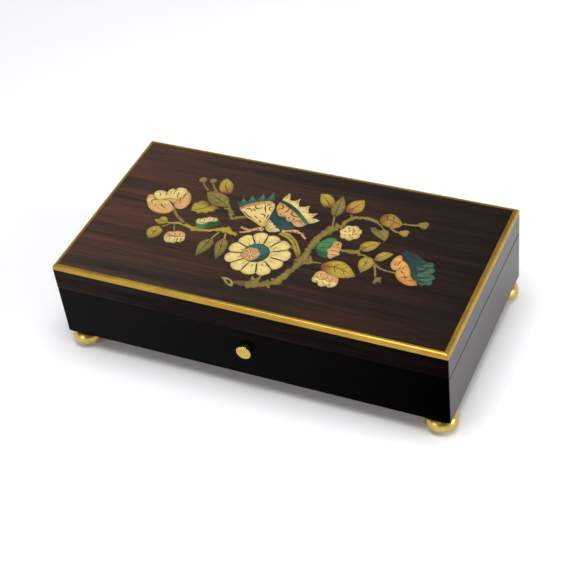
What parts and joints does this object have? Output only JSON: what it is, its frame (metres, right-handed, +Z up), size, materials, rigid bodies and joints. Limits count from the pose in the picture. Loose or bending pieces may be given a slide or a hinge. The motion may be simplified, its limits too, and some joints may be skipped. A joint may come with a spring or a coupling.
{
  "type": "cylinder music box",
  "caption": "Inlaid wooden music box on ball feet, with a stop-hinged lid, a cylinder movement under glass, velvet compartments and a front knob.",
  "frame": {"origin": "on the surface the box stands on, under the middle of its bounding box", "axes": "+X along the box to the right, +Y to the back, +Z up; the knob is on the front, at -Y"},
  "size_m": [0.3142, 0.1709, 0.082],
  "materials": {
    "rosewood": "high-gloss lacquered dark rosewood veneer",
    "inner_wood": "satin stained solid wood",
    "base_wood": "matt stained board",
    "gilt_moulding": "polished yellow gilt",
    "brass": "polished",
    "movement_brass": "brushed",
    "steel": "ground and polished",
    "cast_plate": "bronzed casting",
    "velvet": "short-pile velvet",
    "glass": "clear polished sheet",
    "inlay": "high-gloss lacquered coloured veneers"
  },
  "bodies": {
    "case": {"front_wall": "rosewood", "back_wall": "rosewood", "left_wall": "rosewood", "right_wall": "rosewood", "movement_partition": "inner_wood", "compartment_dividers": "inner_wood", "glass_cleats": "inner_wood", "corner_blocks": "inner_wood", "base_board": "base_wood", "compartment_floor": "base_wood", "foot_front_left": "brass", "foot_front_right": "brass", "foot_back_left": "brass", "foot_back_right": "brass", "knob_bush": "brass", "hinge_case_leaves": "brass", "hinge_pins": "brass", "hinge_case_screws": "brass", "glass_screws": "brass", "cylinder_cocks": "movement_brass", "comb_riser": "movement_brass", "governor_frame": "movement_brass", "governor_bridge": "movement_brass", "comb": "steel", "movement_screws": "steel", "underside_screws": "steel", "foot_studs": "steel", "bedplate": "cast_plate", "compartment_linings": "velvet", "compartment_pads": "velvet", "ring_rolls": "velvet", "glass_cover": "glass"},
    "lid": {"lid_front_rail": "rosewood", "lid_back_rail": "rosewood", "lid_left_rail": "rosewood", "lid_right_rail": "rosewood", "lid_panel": "base_wood", "lid_veneer": "rosewood", "marquetry_flowers": "inlay", "marquetry_foliage": "inlay", "lid_moulding": "gilt_moulding", "lid_lining": "velvet", "hinge_lid_leaves": "brass", "hinge_lid_screws": "brass"},
    "start_knob": {"front_knob": "brass", "knob_rod": "steel", "stop_finger": "movement_brass"},
    "winding": {"winding_arbor": "steel", "winding_key": "movement_brass"},
    "barrel": {"barrel_drum": "movement_brass", "barrel_cover": "movement_brass", "mainspring": "steel"},
    "cylinder": {"cylinder_tube": "movement_brass", "cylinder_caps": "movement_brass", "cylinder_arbor": "steel", "cylinder_wheel": "movement_brass"},
    "governor_wheel": {"governor_arbor": "steel", "worm_wheel": "movement_brass"},
    "fan": {"worm": "steel", "governor_fan": "movement_brass"}
  },
  "joints": [
    {"name": "lid_hinge", "type": "hinge", "parent": "case", "child": "lid", "pos_m": [0, 0.0822, 0.0592], "axis": [-1, 0, 0], "range_deg": [0, 95]},
    {"name": "knob_slide", "type": "slide", "parent": "case", "child": "start_knob", "axis": [0, -1, 0], "range_m": [-0.0022, 0]},
    {"name": "key_turn", "type": "hinge", "parent": "case", "child": "winding", "pos_m": [-0.118, 0.004, 0.01], "axis": [0, 0, 1], "continuous": true},
    {"name": "cylinder_turn", "type": "hinge", "parent": "case", "child": "cylinder", "pos_m": [-0.057, 0.004, 0.042], "axis": [1, 0, 0], "continuous": true},
    {"name": "barrel_turn", "type": "hinge", "parent": "case", "child": "barrel", "pos_m": [-0.118, 0.004, 0.037], "axis": [0, 0, 1], "continuous": true},
    {"name": "governor_wheel_turn", "type": "hinge", "parent": "case", "child": "governor_wheel", "pos_m": [-0.012, 0.01508, 0.036], "axis": [1, 0, 0], "continuous": true},
    {"name": "fan_turn", "type": "hinge", "parent": "case", "child": "fan", "pos_m": [-0.0092, 0.02178, 0.04], "axis": [0, 0, 1], "continuous": true}
  ],
  "couplings": [
    {"joint": "barrel_turn", "follows": "cylinder_turn", "ratio": 0.33333},
    {"joint": "governor_wheel_turn", "follows": "cylinder_turn", "ratio": -8},
    {"joint": "fan_turn", "follows": "cylinder_turn", "ratio": 192}
  ]
}
